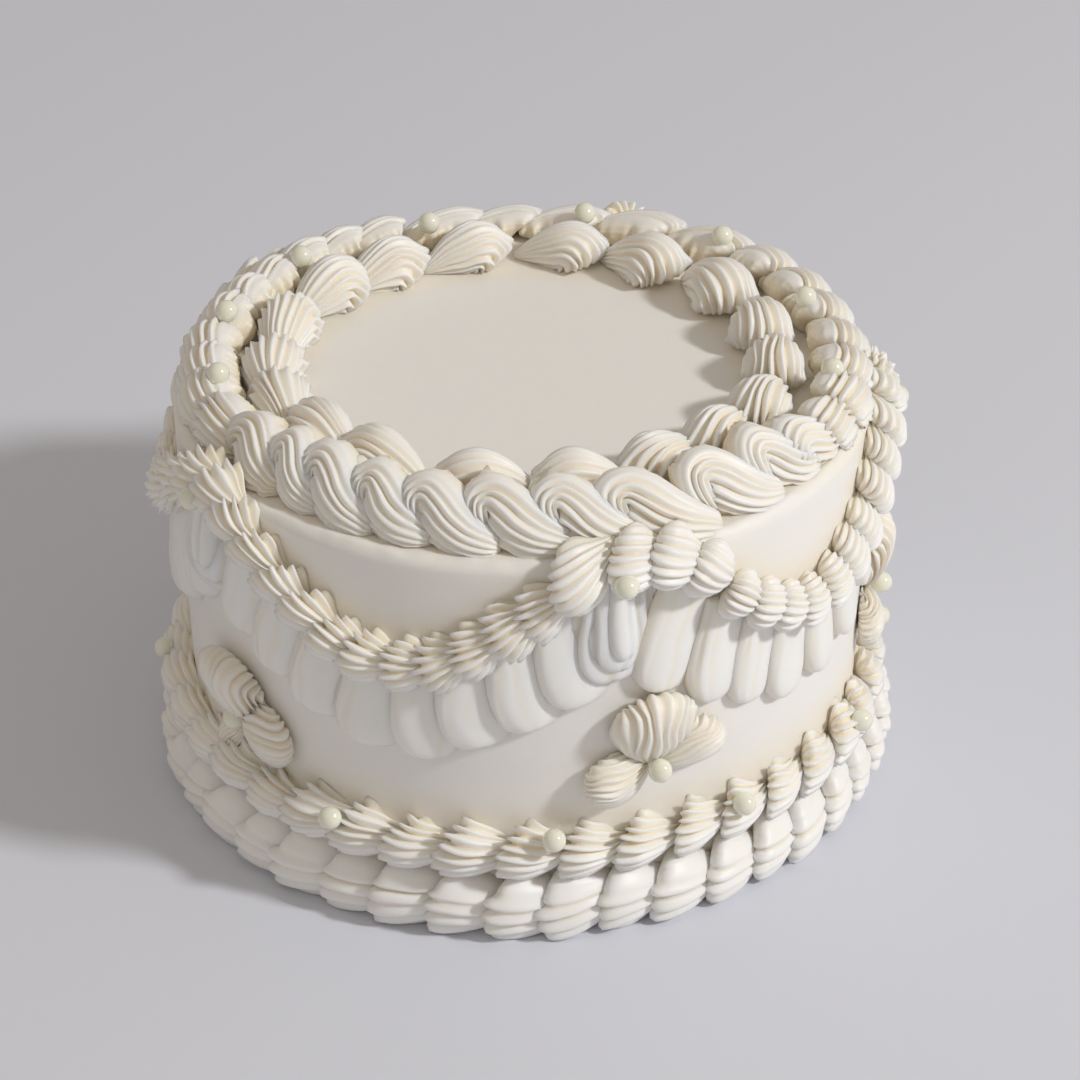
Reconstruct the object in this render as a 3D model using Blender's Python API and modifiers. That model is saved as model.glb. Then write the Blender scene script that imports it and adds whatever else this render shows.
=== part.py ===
"""A round white buttercream cake with vintage piping, modelled in metres, +Z up.

The origin is the middle of the cake's flat underside. Azimuth 0 is the front (-Y) and grows
towards +X, which is also the way that every border was piped. Each border is a loft of ridged
sections that swell and taper once for every piped shell, and the sugar pearls are fused to it.
"""

import bisect
import math
import random

import bmesh
import bpy
from mathutils import Vector

# The cake itself
CAKE_RADIUS = 0.075
CAKE_HEIGHT = 0.0888
TOP_EDGE_RADIUS = 0.0024
CAKE_SIDES = 60
TOP_EDGE_STEPS = 2

GAP = 0.0003  # between icing that touches other icing
PEARL_RADIUS = 0.0025
PEARL_PROUD = 0.0012  # how far a pearl's centre stands out of the icing
PEARL_SEGMENTS = 6
PEARL_RINGS = 3
UNEVEN = 0.07  # hand-piped shells differ by about this share of their size

# The two borders on the top: (middle radius, half width, height), and where each shell crests
OUTER_RING = (0.0664, 0.0076, 0.0116)
OUTER_RING_CRESTS = (
    -15.2, -3.4, 8.0, 19.5, 35.5, 48.4, 57.6, 67.6, 76.5, 87.2, 96.8, 107.8, 117.6, 127.8, 139.5,
    155.5, 171.0, 183.2, 195.5, 209.5, 218.5, 227.5, 237.4, 246.9, 254.5, 266.0, 274.8, 283.5,
    293.4, 303.9, 314.8, 323.0, 334.5,
)
INNER_RING = (0.0529, 0.0068, 0.0122)
INNER_RING_CRESTS = (
    -8.9, 13.2, 34.0, 52.0, 69.4, 88.3, 106.0, 126.3, 148.6, 169.3, 192.8, 214.4, 232.1, 253.1,
    273.7, 289.0, 307.0, 326.2,
)
RINGS_MEET_RADIUS = 0.0589
OUTER_RING_LEAN = 4.2  # degrees that a shell's outer foot runs ahead of its crest
OUTER_RING_DRIFT = 0.0008  # how far the ring wanders out on its right side
OUTER_RING_INSET = 0.0034  # how much further from the rim it lies at the front
FRONT_ANGLES = (42, 72)  # where the front's inset starts to fade and where it ends
OUTER_RING_DIP = 0.30  # the rings lie lower at the back by this share of their height
INNER_RING_DIP = 0.13
DIP_SHARPNESS = 8  # and only there, the more so the larger this is
# Pearls on the outer ring: (azimuth, degrees round the section from the outer foot over the crest)
TOP_PEARLS = (
    (3.7, 104), (46.0, 104), (77.8, 112), (106.2, 112), (136.3, 114), (166.5, 128),
    (200.6, 128), (231.8, 120), (259.4, 112), (283.2, 112), (326.8, 104),
)
TOP_PEARL_LEAN = 0.35  # towards the middle, where the pearls catch between the rings

# The two rows round the foot
UPPER_ROW_SHELLS = 41
UPPER_ROW_FIRST = 3.0
UPPER_ROW_MIDDLE = 0.0208
UPPER_ROW_HALF_HEIGHT = 0.0068
UPPER_ROW_DEPTH = 0.0076
LOWER_ROW_SHELLS = 42
LOWER_ROW_DEPTH = 0.0086
# Its section as shares of (depth, height): a smooth shoulder over two ridges
LOWER_ROW_SECTION = (
    (0.0, 1.0), (0.56, 0.95), (0.88, 0.60), (0.80, 0.42), (1.0, 0.26), (0.90, 0.0), (0.0, 0.0)
)
ROWS_MEET_HEIGHT = 0.0143
BASE_PEARLS = 12  # places, one of which is left out
BASE_PEARL_MISSING = 10
BASE_PEARL_FIRST = 4.3
BASE_PEARL_TILT = 42
BASE_PEARL_RISE = 0.9  # climb of the line that a pearl is pressed in along

# The five swags: a shell rope over a frill of smooth petals
SWAGS = 5
SWAG_ANGLE = 360 / SWAGS
FIRST_PEAK = 16
ROPE_SHELLS = 14  # in each swag
ROPE_LOW = 0.0645
ROPE_PEAK = 0.0905
ROPE_HALF_WIDTH = 0.0049
ROPE_DEPTH = 0.0066
PEAK_PEARL_TILT = 150
PEAK_PEARL_RISE = -0.5
FRILL_PETALS = 8  # beside the wide one at each peak
FRILL_PEAK_ANGLE = 12
FRILL_TOP_DROP = 0.0068  # from the rope's middle, square to the rope
FRILL_LOW = 0.0410
FRILL_PEAK = 0.0617
FRILL_DEPTH = 0.0030
FRILL_SCALLOP = 0.0045  # how far the notch between two petals reaches up
FRILL_BELLY = 0.22  # where a petal is thickest, as a share of the way up

# A flower under each peak: petals as (degrees left of straight up, length, width)
FLOWER_HEARTS = (0.0389, 0.0390, 0.0395, 0.0400, 0.0382)
FLOWER_AZIMUTHS = (4.4, -2.0, 2.0, 3.0, 7.0)  # past each peak
FLOWER_PETALS = ((8, 0.0200, 0.0185), (90, 0.0150, 0.0120), (-52, 0.0170, 0.0118))
FLOWER_DEPTH = 0.0062
PETAL_SIDES = 10
PETAL_LEVELS = ((0.0, 0.0), (0.12, 0.72), (0.42, 1.0))  # (inset, height) of its rims
PETAL_TAPER = 0.5  # how much narrower a petal is at its tail
TAIL_PAST_HEART = 0.0016
HEART_PEARL_OUT = 0.0042  # from the wall
FLOWER_ROOT = 0.0015  # how far the petals reach into the wall before its curve cuts them

ICING = (0.93, 0.91, 0.86)
WALL_ICING = (0.94, 0.92, 0.88)


def fresh_scene():
    for thing in list(bpy.data.objects):
        bpy.data.objects.remove(thing, do_unlink=True)
    cake = bpy.data.collections.new("piped_cake")
    cutters = bpy.data.collections.new("cutters")
    for collection in (cake, cutters):
        bpy.context.scene.collection.children.link(collection)
    return cake, cutters


def icing_material(name, colour, roughness):
    material = bpy.data.materials.new(name)
    material.use_nodes = True
    shader = material.node_tree.nodes["Principled BSDF"]
    shader.inputs["Base Color"].default_value = (*colour, 1)
    shader.inputs["Roughness"].default_value = roughness
    shader.inputs["Metallic"].default_value = 0
    return material


def add_piece(name, shape, collection, colour=ICING, roughness=0.45):
    """Turn a bmesh into an object of its own with its own material."""
    mesh = bpy.data.meshes.new(name)
    bmesh.ops.triangulate(shape, faces=shape.faces)
    bmesh.ops.recalc_face_normals(shape, faces=shape.faces)
    shape.to_mesh(mesh)
    shape.free()
    mesh.materials.append(icing_material(name + "_icing", colour, roughness))
    piece = bpy.data.objects.new(name, mesh)
    collection.objects.link(piece)
    return piece


def at(azimuth, radius, height):
    """A point from its azimuth in degrees, its radius and its height."""
    turn = math.radians(azimuth)
    return Vector((radius * math.sin(turn), -radius * math.cos(turn), height))


def loft_round(name, sections, collection):
    """Join closed sections, in order round the cake, into one ring without ends."""
    shape = bmesh.new()
    loops = [[shape.verts.new(point) for point in section] for section in sections]
    for here, there in zip(loops, loops[1:] + loops[:1]):
        for index, corner in enumerate(here):
            after = (index + 1) % len(here)
            shape.faces.new((corner, here[after], there[after], there[index]))
    return add_piece(name, shape, collection)


def dip(azimuth, share):
    """Height left to a ring at an azimuth: all of it at the front, and less at the back."""
    behind = (1 - math.cos(math.radians(azimuth))) / 2
    return 1 - share * behind**DIP_SHARPNESS


def front_share(azimuth):
    """How much of the front's inset a ring has at an azimuth: all of it ahead, none behind."""
    start, stop = FRONT_ANGLES
    off = abs((azimuth + 180) % 360 - 180)
    past = min(1, max(0, (off - start) / (stop - start)))
    return 1 - past * past * (3 - 2 * past)


def shell_sizes(count, seed):
    """One size for each shell of a border, uneven as a hand pipes them."""
    draw = random.Random(seed)
    return [1 + UNEVEN * draw.uniform(-1, 1) for _ in range(count)]


def swell_at(phase, swell):
    """Size at a phase of one shell, read between the (phase, size) pairs of swell."""
    stops = list(swell) + [(1.0, swell[0][1])]
    for (before, small), (after, large) in zip(stops, stops[1:]):
        if phase <= after:
            return small + (large - small) * (phase - before) / (after - before)
    return swell[0][1]


def even_heads(first, count):
    """Azimuths where the shells of an evenly piped border start."""
    return [first + 360 * number / count for number in range(count)]


def heads_before(crests):
    """Azimuths where shells start that have their highest point at the crests."""
    spans = zip((crests[-1] - 360,) + crests, crests)
    return [before + 0.62 * (crest - before) for before, crest in spans]


def border_surface(heads, sizes, swell, place):
    """A function that puts a section's angle and an azimuth onto the border."""
    ends = heads[1:] + [heads[0] + 360]

    def surface(azimuth, tilt, ridge=1.0):
        turned = heads[0] + (azimuth - heads[0]) % 360
        shell = bisect.bisect_right(heads, turned + 1e-9) - 1
        phase = max(0, turned - heads[shell]) / (ends[shell] - heads[shell])
        size = swell_at(phase, swell) * sizes[shell]
        return place(azimuth, math.radians(tilt), size * ridge)

    return surface


def piped_border(name, collection, heads, sizes, swell, tilts, place):
    """A border of shells: tilts holds (degrees round the section, ridge or groove)."""
    surface = border_surface(heads, sizes, swell, place)
    sections = []
    for start, end in zip(heads, heads[1:] + [heads[0] + 360]):
        for phase, _ in swell:
            azimuth = start + (end - start) * phase
            sections.append([surface(azimuth, tilt, ridge) for tilt, ridge in tilts])
    return loft_round(name, sections, collection), surface


def broad(size):
    """Shells overlap along a border, so they narrow less between their heads than they sink."""
    return 0.3 + 0.7 * size


def pearl(point, outward):
    """A sugar pearl pressed into the icing at a point, as a bmesh."""
    shape = bmesh.new()
    bmesh.ops.create_uvsphere(
        shape, u_segments=PEARL_SEGMENTS, v_segments=PEARL_RINGS, radius=PEARL_RADIUS
    )
    turn = outward.to_track_quat("Z", "X").to_matrix().to_4x4()
    bmesh.ops.transform(shape, matrix=turn, verts=shape.verts)
    bmesh.ops.translate(shape, vec=point + outward * PEARL_PROUD, verts=shape.verts)
    return shape


def fuse(target, shapes):
    """Join shapes to a piece with one Boolean union, then drop them."""
    extras = bpy.data.collections.new(target.name + "_extras")
    bpy.context.scene.collection.children.link(extras)
    for number, shape in enumerate(shapes):
        add_piece(f"{target.name}_extra_{number}", shape, extras)
    union = target.modifiers.new("fuse", "BOOLEAN")
    union.operation = "UNION"
    union.operand_type = "COLLECTION"
    union.collection = extras
    union.solver = "EXACT"
    seen = target.evaluated_get(bpy.context.evaluated_depsgraph_get())
    joined = bpy.data.meshes.new_from_object(seen)
    target.modifiers.remove(union)
    target.data = joined
    for extra in list(extras.objects):
        bpy.data.objects.remove(extra, do_unlink=True)
    bpy.data.collections.remove(extras)


def outward_on_top(azimuth):
    return (Vector((0, 0, 1)) - at(azimuth, TOP_PEARL_LEAN, 0)).normalized()


def outward_on_wall(azimuth, rise):
    return (at(azimuth, 1, 0) + Vector((0, 0, rise))).normalized()


def make_body(collection):
    """The iced cake: a turned profile with a softly rounded top edge."""
    shape = bmesh.new()
    outline = [(0, CAKE_HEIGHT)]
    middle = CAKE_RADIUS - TOP_EDGE_RADIUS
    for step in range(TOP_EDGE_STEPS + 1):
        turn = math.pi / 2 * (1 - step / TOP_EDGE_STEPS)
        reach = TOP_EDGE_RADIUS * math.cos(turn)
        drop = TOP_EDGE_RADIUS * (1 - math.sin(turn))
        outline.append((middle + reach, CAKE_HEIGHT - drop))
    outline += [(CAKE_RADIUS, 0), (0, 0)]
    corners = [shape.verts.new((radius, 0, height)) for radius, height in outline]
    for above, below in zip(corners, corners[1:]):
        shape.edges.new((above, below))
    mesh = bpy.data.meshes.new("cake_body")
    shape.to_mesh(mesh)
    shape.free()
    mesh.materials.append(icing_material("cake_body_icing", WALL_ICING, 0.5))
    body = bpy.data.objects.new("cake_body", mesh)
    collection.objects.link(body)
    turned = body.modifiers.new("turned", "SCREW")
    turned.steps = CAKE_SIDES
    turned.render_steps = CAKE_SIDES
    turned.use_merge_vertices = True
    turned.merge_threshold = 0.00001
    return body


def make_outer_ring(collection):
    """Comma-shaped shells whose ridges run down to the cake's rim."""
    middle, half_width, height = OUTER_RING
    swell = ((0.0, 0.62), (0.14, 0.95), (0.38, 1.0), (0.70, 0.87))
    tilts = ((180, 1), (146, 1), (112, 1), (80, 1.03), (58, 0.88), (40, 1.05), (20, 0.90))
    tilts += ((0, 1.0),)

    def place(azimuth, tilt, size):
        drift = OUTER_RING_DRIFT * math.sin(math.radians(azimuth))
        drift -= OUTER_RING_INSET * front_share(azimuth)
        radius = middle + drift + half_width * math.cos(tilt) * broad(size)
        lean = OUTER_RING_LEAN * math.cos(tilt)
        lift = GAP + height * math.sin(tilt) * size * dip(azimuth, OUTER_RING_DIP)
        return at(azimuth + lean, max(radius, RINGS_MEET_RADIUS + GAP / 2), CAKE_HEIGHT + lift)

    sizes = shell_sizes(len(OUTER_RING_CRESTS), 3)
    ring, surface = piped_border(
        "top_border_outer", collection, heads_before(OUTER_RING_CRESTS), sizes, swell, tilts, place
    )
    pearls = []
    for azimuth, tilt in TOP_PEARLS:
        pearls.append(pearl(surface(azimuth, tilt), outward_on_top(azimuth)))
    fuse(ring, pearls)


def make_inner_ring(collection):
    """Fat shells with ridges along the ring, round the bare middle of the top."""
    middle, half_width, height = INNER_RING
    swell = ((0.0, 0.58), (0.14, 0.94), (0.38, 1.0), (0.72, 0.82))
    tilts = ((180, 1), (158, 1.04), (138, 0.90), (118, 1.04), (98, 0.91), (78, 1.04))
    tilts += ((58, 0.91), (38, 1.02), (0, 1))

    def place(azimuth, tilt, size):
        radius = middle + half_width * math.cos(tilt) * broad(size)
        lift = GAP + height * math.sin(tilt) * size * dip(azimuth, INNER_RING_DIP)
        return at(azimuth, min(radius, RINGS_MEET_RADIUS - GAP / 2), CAKE_HEIGHT + lift)

    sizes = shell_sizes(len(INNER_RING_CRESTS), 5)
    heads = heads_before(INNER_RING_CRESTS)
    piped_border("top_border_inner", collection, heads, sizes, swell, tilts, place)


def make_base_rows(collection):
    """A row of smooth-shouldered shells on the floor, and a row of star shells over it."""
    swell = ((0.0, 0.66), (0.22, 1.0), (0.64, 0.90))

    def lower(azimuth, tilt, size):
        # the "tilt" counts the corners of the row's section here
        out, up = LOWER_ROW_SECTION[round(math.degrees(tilt))]
        tall = min(1, 0.80 + 0.20 * size)
        radius = CAKE_RADIUS + GAP + LOWER_ROW_DEPTH * out * size
        return at(azimuth, radius, ROWS_MEET_HEIGHT * up * tall)

    corners = [(index, 1) for index in range(len(LOWER_ROW_SECTION))]
    sizes = shell_sizes(LOWER_ROW_SHELLS, 7)
    heads = even_heads(0, LOWER_ROW_SHELLS)
    piped_border("base_border_lower", collection, heads, sizes, swell, corners, lower)

    def upper(azimuth, tilt, size):
        out = max(0, UPPER_ROW_DEPTH * math.cos(tilt) * size)
        height = UPPER_ROW_MIDDLE + UPPER_ROW_HALF_HEIGHT * math.sin(tilt) * broad(size)
        return at(azimuth, CAKE_RADIUS + GAP + out, max(height, ROWS_MEET_HEIGHT + GAP))

    tilts = ((90, 1), (56, 1.05), (32, 0.87), (8, 1.06), (-16, 0.87), (-44, 1.05), (-90, 1))
    sizes = shell_sizes(UPPER_ROW_SHELLS, 11)
    heads = even_heads(UPPER_ROW_FIRST, UPPER_ROW_SHELLS)
    row, surface = piped_border("base_border_upper", collection, heads, sizes, swell, tilts, upper)
    pearls = []
    for number in range(BASE_PEARLS):
        if number == BASE_PEARL_MISSING:
            continue
        azimuth = BASE_PEARL_FIRST + number * 360 / BASE_PEARLS
        outward = outward_on_wall(azimuth, BASE_PEARL_RISE)
        pearls.append(pearl(surface(azimuth, BASE_PEARL_TILT), outward))
    fuse(row, pearls)


def swag_rise(azimuth):
    """How far up a swag stands at an azimuth: 0 at its lowest point and 1 at a peak."""
    turns = (azimuth - FIRST_PEAK) / SWAG_ANGLE
    across = abs(2 * (turns - math.floor(turns)) - 1)
    return 0.25 * (1 - math.cos(math.pi * across)) + 0.5 * across**1.6


def rope_height(azimuth):
    return ROPE_LOW + (ROPE_PEAK - ROPE_LOW) * swag_rise(azimuth)


def frill_bottom(azimuth):
    return FRILL_LOW + (FRILL_PEAK - FRILL_LOW) * swag_rise(azimuth)


def rope_slope(azimuth):
    """The rope's angle on the wall, in radians up from level."""
    step = 1.0
    climb = rope_height(azimuth + step) - rope_height(azimuth - step)
    return math.atan2(climb, CAKE_RADIUS * math.radians(2 * step))


def make_rope(collection):
    """The swags' rope of star shells, one ring of five hanging curves."""
    swell = ((0.0, 0.60), (0.24, 1.0), (0.64, 0.84))
    tilts = ((180, 1), (136, 1.07), (108, 0.88), (80, 1.07), (50, 0.88), (0, 1.06))

    def place(azimuth, tilt, size):
        slope = rope_slope(azimuth)
        across = ROPE_HALF_WIDTH * math.cos(tilt) * broad(size)
        along = -across * math.sin(slope)
        out = GAP + ROPE_DEPTH * math.sin(tilt) * size
        height = rope_height(azimuth) + across * math.cos(slope)
        return at(azimuth + math.degrees(along / CAKE_RADIUS), CAKE_RADIUS + out, height)

    sizes = shell_sizes(SWAGS * ROPE_SHELLS, 13)
    heads = even_heads(FIRST_PEAK - SWAG_ANGLE / ROPE_SHELLS / 2, SWAGS * ROPE_SHELLS)
    rope, surface = piped_border("swag_rope", collection, heads, sizes, swell, tilts, place)
    pearls = []
    for number in range(SWAGS):
        azimuth = FIRST_PEAK + number * SWAG_ANGLE
        outward = outward_on_wall(azimuth, PEAK_PEARL_RISE)
        pearls.append(pearl(surface(azimuth, PEAK_PEARL_TILT), outward))
    fuse(rope, pearls)


def frill_stations():
    """Azimuths round the frill with how full the petal is there and how wide it is."""
    petal_angle = (SWAG_ANGLE - FRILL_PEAK_ANGLE) / FRILL_PETALS
    widths = [FRILL_PEAK_ANGLE] + [petal_angle] * FRILL_PETALS
    stations = []
    azimuth = FIRST_PEAK - FRILL_PEAK_ANGLE / 2
    for _ in range(SWAGS):
        for width in widths:
            stations += [(azimuth, 0.0), (azimuth + 0.28 * width, 0.9)]
            stations += [(azimuth + 0.66 * width, 1.0)]
            azimuth += width
    return stations


def make_frill(collection):
    """Smooth drooping petals in a band under the rope, notched between each two."""
    sections = []
    for azimuth, full in frill_stations():
        top = rope_height(azimuth) - FRILL_TOP_DROP / math.cos(rope_slope(azimuth))
        bottom = frill_bottom(azimuth) + FRILL_SCALLOP * (1 - full)
        out = FRILL_DEPTH * (0.42 + 0.58 * full)
        back = CAKE_RADIUS + GAP
        belly = bottom + FRILL_BELLY * (top - bottom)
        section = [at(azimuth, back, top), at(azimuth, back + 0.6 * out, top)]
        section += [at(azimuth, back + out, belly), at(azimuth, back, bottom)]
        sections.append(section)
    loft_round("swag_ruffle", sections, collection)


def petal(lean, length, width, heart_azimuth, heart_height):
    """One ridged shell petal whose tail meets the flower's heart, as a bmesh."""
    shape = bmesh.new()
    rim = bmesh.ops.create_circle(shape, cap_ends=True, segments=PETAL_SIDES, radius=1)["verts"]
    head = width / 2
    neck = length - head + TAIL_PAST_HEART
    outline = []
    for corner in rim:
        taper = max(0, -corner.co.x)
        along = length - head + (head if corner.co.x > 0 else neck) * corner.co.x
        outline.append((head * corner.co.y * (1 - PETAL_TAPER * taper), along))
    loops = [rim]
    edges = list(shape.edges)
    for _ in PETAL_LEVELS[1:]:
        grown = bmesh.ops.extrude_edge_only(shape, edges=edges)["geom"]
        edges = [part for part in grown if isinstance(part, bmesh.types.BMEdge)]
        loops.append([part for part in grown if isinstance(part, bmesh.types.BMVert)])
    turn = math.radians(lean)
    for loop, (inset, lift) in zip(loops, PETAL_LEVELS):
        for index, (across, along) in enumerate(outline):
            ridge = 0.95 if index % 2 else 1.05
            across *= (1 - inset) * ridge
            along = along * (1 - inset)
            tall = FLOWER_DEPTH * lift * ridge * min(1, 0.45 + 0.55 * along / head)
            tall -= 0 if lift else FLOWER_ROOT
            side = -along * math.sin(turn) + across * math.cos(turn)
            rise = along * math.cos(turn) + across * math.sin(turn)
            azimuth = heart_azimuth + math.degrees(side / CAKE_RADIUS)
            loop[index].co = at(azimuth, CAKE_RADIUS + GAP + tall, heart_height + rise)
    bmesh.ops.contextual_create(shape, geom=edges)
    return shape


def make_wall_cutter(cutters):
    """The cake's own wall, a gap larger all round."""
    bpy.ops.mesh.primitive_cylinder_add(
        vertices=CAKE_SIDES,
        radius=CAKE_RADIUS + GAP,
        depth=CAKE_HEIGHT,
        location=(0, 0, CAKE_HEIGHT / 2),
    )
    cutter = bpy.context.object
    cutter.name = "wall_cutter"
    cutter.hide_render = True
    cutter.display_type = "WIRE"
    for home in list(cutter.users_collection):
        home.objects.unlink(cutter)
    cutters.objects.link(cutter)
    return cutter


def make_flowers(collection, cutter):
    """One flower under each swag's peak, its back cut to the curve of the wall."""
    for number, (past_peak, heart) in enumerate(zip(FLOWER_AZIMUTHS, FLOWER_HEARTS)):
        azimuth = FIRST_PEAK + number * SWAG_ANGLE + past_peak
        petals = [petal(*sizes, azimuth, heart) for sizes in FLOWER_PETALS]
        flower = add_piece(f"flower_{number + 1}", petals[0], collection)
        centre = at(azimuth, CAKE_RADIUS + HEART_PEARL_OUT, heart)
        fuse(flower, petals[1:] + [pearl(centre, outward_on_wall(azimuth, 0))])
        cut = flower.modifiers.new("wall", "BOOLEAN")
        cut.operation = "DIFFERENCE"
        cut.object = cutter
        cut.solver = "EXACT"


def main():
    cake, cutters = fresh_scene()
    make_body(cake)
    make_outer_ring(cake)
    make_inner_ring(cake)
    make_base_rows(cake)
    make_rope(cake)
    make_frill(cake)
    make_flowers(cake, make_wall_cutter(cutters))


main()
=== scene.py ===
# Vintage piped buttercream cake. Azimuths are in degrees: 0 is the front (-Y), growing towards +X.
import math
import random

import bmesh
import bpy
from mathutils import Matrix, Vector, noise


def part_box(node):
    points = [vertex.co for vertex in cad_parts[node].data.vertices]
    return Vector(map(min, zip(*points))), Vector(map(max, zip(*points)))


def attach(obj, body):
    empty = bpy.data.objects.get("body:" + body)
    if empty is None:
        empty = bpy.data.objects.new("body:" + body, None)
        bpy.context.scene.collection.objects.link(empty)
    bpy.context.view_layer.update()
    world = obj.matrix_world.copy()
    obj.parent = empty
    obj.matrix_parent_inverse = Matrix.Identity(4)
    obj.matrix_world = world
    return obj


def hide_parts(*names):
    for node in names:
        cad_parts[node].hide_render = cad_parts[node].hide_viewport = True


print("cake: loading the packed frame")
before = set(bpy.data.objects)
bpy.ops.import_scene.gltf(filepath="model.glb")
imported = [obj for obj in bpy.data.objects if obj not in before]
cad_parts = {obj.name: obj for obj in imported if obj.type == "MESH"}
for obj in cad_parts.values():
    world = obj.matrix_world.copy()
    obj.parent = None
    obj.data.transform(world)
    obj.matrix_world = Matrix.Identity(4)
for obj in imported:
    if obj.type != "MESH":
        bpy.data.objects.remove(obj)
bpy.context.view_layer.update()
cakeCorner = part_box("cake_body")[1]
cakeRadius = cakeCorner.x
cakeTop = cakeCorner.z
mm = 0.001


def polar(azimuth, radius, height):
    turn = math.radians(azimuth)
    return Vector((radius * math.sin(turn), -radius * math.cos(turn), height))


def fadeIn(value, start, stop):
    # 0 up to the start, 1 from the stop, and a smooth rise between them
    share = min(1, max(0, (value - start) / (stop - start)))
    return share * share * (3 - 2 * share)


print("cake: mixing the icing")

softRadius = (0.0040, 0.0026, 0.0014)  # how far light soaks through icing, in metres

pipedLook = {
    "ridgeColour": (0.905, 0.893, 0.866, 1),
    "grooveColour": (0.870, 0.760, 0.560, 1),  # painted shade: warm cream put in the grooves and at the shells' feet, where light soaks through and falls into shade
    "grooveStrength": 0.80,
    "roughness": (0.34, 0.52),
    "specular": 0.42,
    "grain": 2600,
    "smear": (240, 240, 240),
    "bump": (0.00002, 0.35),  # distance and strength
    "softness": 0.30,
    "softRadius": softRadius,
}

wallLook = {
    "colour": (0.890, 0.875, 0.845, 1),
    "dullColour": (0.870, 0.852, 0.815, 1),
    # painted glow: the smooth icing is tinted warm beside the piping, standing in for light bounced and
    # soaked out of it
    "paintedGlowColour": (0.875, 0.790, 0.640, 1),
    "paintedGlowStrength": 0.44,
    "roughness": (0.40, 0.62),
    "specular": 0.40,
    "grain": 1500,
    "smear": (14, 14, 70),
    "bump": (0.00003, 0.3),
    "softness": 0.25,
    "softRadius": softRadius,
}

pearlLook = {
    "colour": (0.800, 0.800, 0.660, 1),
    "paleColour": (0.860, 0.860, 0.760, 1),
    "roughness": 0.16,
    "coat": 0.5,
    "coatRoughness": 0.08,
    "grain": 900,
    "smear": (420, 420, 420),
    "bump": (0.00002, 0.1),
    "softness": 0.35,
    "softRadius": (0.002, 0.002, 0.0014),
}


def makeGrainGroup():
    # whipped icing: a fine grain for the bump, and broad streaks for colour and roughness
    tree = bpy.data.node_groups.new("icingGrain", "ShaderNodeTree")
    tree.interface.new_socket("Scale", in_out="INPUT", socket_type="NodeSocketFloat")
    tree.interface.new_socket("Smear", in_out="INPUT", socket_type="NodeSocketVector")
    tree.interface.new_socket("Grain", in_out="OUTPUT", socket_type="NodeSocketFloat")
    tree.interface.new_socket("Streaks", in_out="OUTPUT", socket_type="NodeSocketFloat")
    enter = tree.nodes.new("NodeGroupInput")
    leave = tree.nodes.new("NodeGroupOutput")
    place = tree.nodes.new("ShaderNodeTexCoord")
    fine = tree.nodes.new("ShaderNodeTexNoise")
    fine.inputs["Detail"].default_value = 3.0
    fine.inputs["Roughness"].default_value = 0.6
    stretch = tree.nodes.new("ShaderNodeVectorMath")
    stretch.operation = "MULTIPLY"
    broad = tree.nodes.new("ShaderNodeTexNoise")
    broad.inputs["Scale"].default_value = 1.0
    broad.inputs["Detail"].default_value = 4.0
    broad.inputs["Roughness"].default_value = 0.55
    links = tree.links
    links.new(place.outputs["Object"], fine.inputs["Vector"])
    links.new(enter.outputs["Scale"], fine.inputs["Scale"])
    links.new(place.outputs["Object"], stretch.inputs[0])
    links.new(enter.outputs["Smear"], stretch.inputs[1])
    links.new(stretch.outputs["Vector"], broad.inputs["Vector"])
    links.new(fine.outputs["Fac"], leave.inputs["Grain"])
    links.new(broad.outputs["Fac"], leave.inputs["Streaks"])
    return tree


grainGroup = makeGrainGroup()


def newMaterial(name):
    material = bpy.data.materials.new(name)
    material.use_nodes = True
    return material, material.node_tree, material.node_tree.nodes["Principled BSDF"]


def addGrain(tree, shader, look):
    # adds the grain and its bump, and gives back the streaks
    grain = tree.nodes.new("ShaderNodeGroup")
    grain.node_tree = grainGroup
    grain.inputs["Scale"].default_value = look["grain"]
    grain.inputs["Smear"].default_value = look["smear"]
    bump = tree.nodes.new("ShaderNodeBump")
    bump.inputs["Distance"].default_value, bump.inputs["Strength"].default_value = look["bump"]
    tree.links.new(grain.outputs["Grain"], bump.inputs["Height"])
    tree.links.new(bump.outputs["Normal"], shader.inputs["Normal"])
    return grain.outputs["Streaks"]


def addRange(tree, source, low, high):
    scale = tree.nodes.new("ShaderNodeMapRange")
    scale.inputs["To Min"].default_value = low
    scale.inputs["To Max"].default_value = high
    tree.links.new(source, scale.inputs["Value"])
    return scale.outputs["Result"]


def addMix(tree, share, first, second):
    # first is a colour or another node's socket, second a colour
    mix = tree.nodes.new("ShaderNodeMix")
    mix.data_type = "RGBA"
    if isinstance(first, tuple):
        mix.inputs["A"].default_value = first
    else:
        tree.links.new(first, mix.inputs["A"])
    mix.inputs["B"].default_value = second
    tree.links.new(share, mix.inputs["Factor"])
    return mix.outputs["Result"]


def addPaintedShadeAndGlow(tree, strength):
    # the painted warm shade and glow that each piece's vertices carry
    groove = tree.nodes.new("ShaderNodeAttribute")
    groove.attribute_name = "groove"
    return addRange(tree, groove.outputs["Fac"], 0, strength)


def soften(shader, look):
    shader.inputs["Subsurface Weight"].default_value = look["softness"]
    shader.inputs["Subsurface Radius"].default_value = look["softRadius"]
    shader.inputs["Subsurface Scale"].default_value = 1.0


def makePipedIcing():
    look = pipedLook
    material, tree, shader = newMaterial("pipedIcing")
    streaks = addGrain(tree, shader, look)
    # painted shade: the grooves and the shells' feet turn warm cream
    colour = addMix(tree, addPaintedShadeAndGlow(tree, look["grooveStrength"]), look["ridgeColour"], look["grooveColour"])
    tree.links.new(colour, shader.inputs["Base Color"])
    tree.links.new(addRange(tree, streaks, *look["roughness"]), shader.inputs["Roughness"])
    shader.inputs["Specular IOR Level"].default_value = look["specular"]
    soften(shader, look)
    return material


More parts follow.
